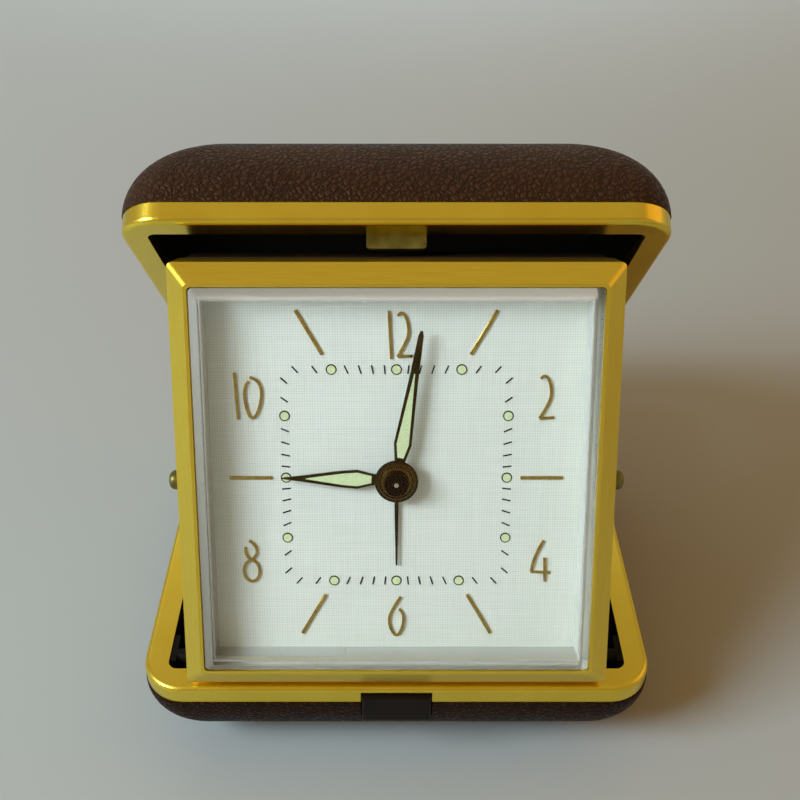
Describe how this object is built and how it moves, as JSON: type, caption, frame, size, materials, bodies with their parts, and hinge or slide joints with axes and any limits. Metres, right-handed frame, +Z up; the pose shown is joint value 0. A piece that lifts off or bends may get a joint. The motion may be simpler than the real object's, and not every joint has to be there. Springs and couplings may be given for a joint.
{
  "type": "folding travel alarm clock",
  "caption": "Folding travel alarm clock: domed leatherette case halves with gilt rims on a rear hinge, holding a square clock head upright on side arms.",
  "frame": {"origin": "middle of the base shell's flat underside, on the surface it stands on", "axes": "+X to the clock's right as seen from the front, +Y to the rear hinge, +Z up"},
  "size_m": [0.081, 0.0912, 0.0879],
  "materials": {
    "leatherette": "pebbled brown leatherette, semi-matt",
    "gilt_brass": "polished gilt brass",
    "aged_brass": "aged brass, satin",
    "black_lining": "matt black lining",
    "brown_plastic": "dark brown plastic",
    "case_brown": "dark brown enamel",
    "black_enamel": "black enamel, semi-matt",
    "steel": "plain steel",
    "crystal_clear": "clear moulded crystal",
    "dial_mint": "pale mint dial with a linen grain",
    "gilt_print": "gilt figures",
    "tick_print": "thin dark gilt print",
    "lume": "pale green luminous paint",
    "bronze": "dark bronze",
    "movement_brass": "plain brass"
  },
  "bodies": {
    "base": {"base_shell": "leatherette", "base_rim": "gilt_brass", "base_lining": "black_lining", "base_hinge_leaf": "aged_brass", "hinge_pin": "aged_brass", "latch_guide": "black_enamel", "arm_brackets": "black_enamel", "arm_pivot_pins": "black_enamel"},
    "lid": {"lid_shell": "leatherette", "lid_rim": "gilt_brass", "lid_lining": "black_lining", "lid_hinge_leaf": "aged_brass", "strike_plate": "aged_brass"},
    "latch": {"latch_button": "brown_plastic"},
    "head": {"bezel": "gilt_brass", "crystal": "crystal_clear", "dial": "dial_mint", "hour_dots": "lume", "minute_ticks": "tick_print", "hour_bars": "gilt_print", "hour_figures": "gilt_print", "head_case": "case_brown", "back_cover": "case_brown", "back_screws": "steel", "front_plate": "movement_brass", "back_plate": "movement_brass", "plate_pillars": "movement_brass", "left_arm": "black_enamel", "right_arm": "black_enamel", "head_pivot_screws": "aged_brass"},
    "minute_work": {"centre_arbor": "steel", "minute_hand": "bronze", "minute_hand_lume": "lume", "hand_nut": "bronze", "time_set_knob": "movement_brass"},
    "hour_work": {"hour_wheel": "movement_brass", "hour_hand": "bronze", "hour_hand_lume": "lume"},
    "motion_wheel": {"minute_wheel": "movement_brass"},
    "alarm_work": {"alarm_wheel": "movement_brass", "alarm_hand": "bronze"},
    "alarm_setting": {"alarm_set_knob": "movement_brass"},
    "time_winder": {"time_key": "movement_brass"},
    "alarm_winder": {"alarm_key": "movement_brass"},
    "time_drum": {"time_barrel": "movement_brass"},
    "alarm_drum": {"alarm_barrel": "movement_brass"},
    "train_wheel": {"third_wheel": "movement_brass"},
    "escapement_wheel": {"escape_wheel": "movement_brass"},
    "pallets": {"pallet_lever": "steel"},
    "balance": {"balance_wheel": "movement_brass"},
    "hammer": {"alarm_hammer": "steel"}
  },
  "joints": [
    {"name": "lid_hinge", "type": "hinge", "parent": "base", "child": "lid", "pos_m": [0, 0.042, 0.0182], "axis": [-1, 0, 0], "range_deg": [0, 40]},
    {"name": "head_fold", "type": "hinge", "parent": "base", "child": "head", "pos_m": [0, -0.0328, 0.01674], "axis": [-1, 0, 0], "range_deg": [0, 65.9]},
    {"name": "latch_push", "type": "slide", "parent": "base", "child": "latch", "axis": [0, 1, 0], "range_m": [0, 0.001], "stiffness_N_per_m": 600},
    {"name": "minute_turn", "type": "hinge", "parent": "head", "child": "minute_work", "pos_m": [0, -0.02732, 0.04967], "axis": [0, 0.9128, -0.4083], "continuous": true},
    {"name": "hour_turn", "type": "hinge", "parent": "head", "child": "hour_work", "pos_m": [0, -0.02732, 0.04967], "axis": [0, 0.9128, -0.4083], "continuous": true},
    {"name": "motion_turn", "type": "hinge", "parent": "head", "child": "motion_wheel", "pos_m": [0.00718, -0.02732, 0.04967], "axis": [0, 0.9128, -0.4083], "continuous": true},
    {"name": "alarm_turn", "type": "hinge", "parent": "head", "child": "alarm_work", "pos_m": [0, -0.02732, 0.04967], "axis": [0, 0.9128, -0.4083], "continuous": true},
    {"name": "alarm_set_turn", "type": "hinge", "parent": "head", "child": "alarm_setting", "pos_m": [0, -0.02353, 0.05815], "axis": [0, 0.9128, -0.4083], "continuous": true},
    {"name": "time_key_turn", "type": "hinge", "parent": "head", "child": "time_winder", "pos_m": [-0.01402, -0.03223, 0.03869], "axis": [0, 0.9128, -0.4083], "continuous": true},
    {"name": "alarm_key_turn", "type": "hinge", "parent": "head", "child": "alarm_winder", "pos_m": [0.01402, -0.03223, 0.03869], "axis": [0, 0.9128, -0.4083], "continuous": true},
    {"name": "time_drum_turn", "type": "hinge", "parent": "head", "child": "time_drum", "pos_m": [-0.01402, -0.03223, 0.03869], "axis": [0, 0.9128, -0.4083], "continuous": true},
    {"name": "alarm_drum_turn", "type": "hinge", "parent": "head", "child": "alarm_drum", "pos_m": [0.01402, -0.03223, 0.03869], "axis": [0, 0.9128, -0.4083], "continuous": true},
    {"name": "train_turn", "type": "hinge", "parent": "head", "child": "train_wheel", "pos_m": [-0.01402, -0.0279, 0.04837], "axis": [0, 0.9128, -0.4083], "continuous": true},
    {"name": "escape_turn", "type": "hinge", "parent": "head", "child": "escapement_wheel", "pos_m": [-0.01402, -0.02488, 0.05513], "axis": [0, 0.9128, -0.4083], "continuous": true},
    {"name": "pallet_rock", "type": "hinge", "parent": "head", "child": "pallets", "pos_m": [-0.01402, -0.02241, 0.06065], "axis": [0, 0.9128, -0.4083], "range_deg": [-4, 4]},
    {"name": "balance_swing", "type": "hinge", "parent": "head", "child": "balance", "pos_m": [-0.01402, -0.01915, 0.06793], "axis": [0, 0.9128, -0.4083], "range_deg": [-120, 120]},
    {"name": "hammer_swing", "type": "hinge", "parent": "head", "child": "hammer", "pos_m": [0.01402, -0.02406, 0.05695], "axis": [0, 0.9128, -0.4083], "range_deg": [-8, 8]}
  ],
  "couplings": [
    {"joint": "hour_turn", "follows": "minute_turn", "ratio": 0.083333},
    {"joint": "motion_turn", "follows": "minute_turn", "ratio": -0.33333},
    {"joint": "alarm_turn", "follows": "alarm_set_turn", "ratio": -0.4},
    {"joint": "train_turn", "follows": "escape_turn", "ratio": -0.2},
    {"joint": "time_drum_turn", "follows": "escape_turn", "ratio": 0.033333}
  ]
}
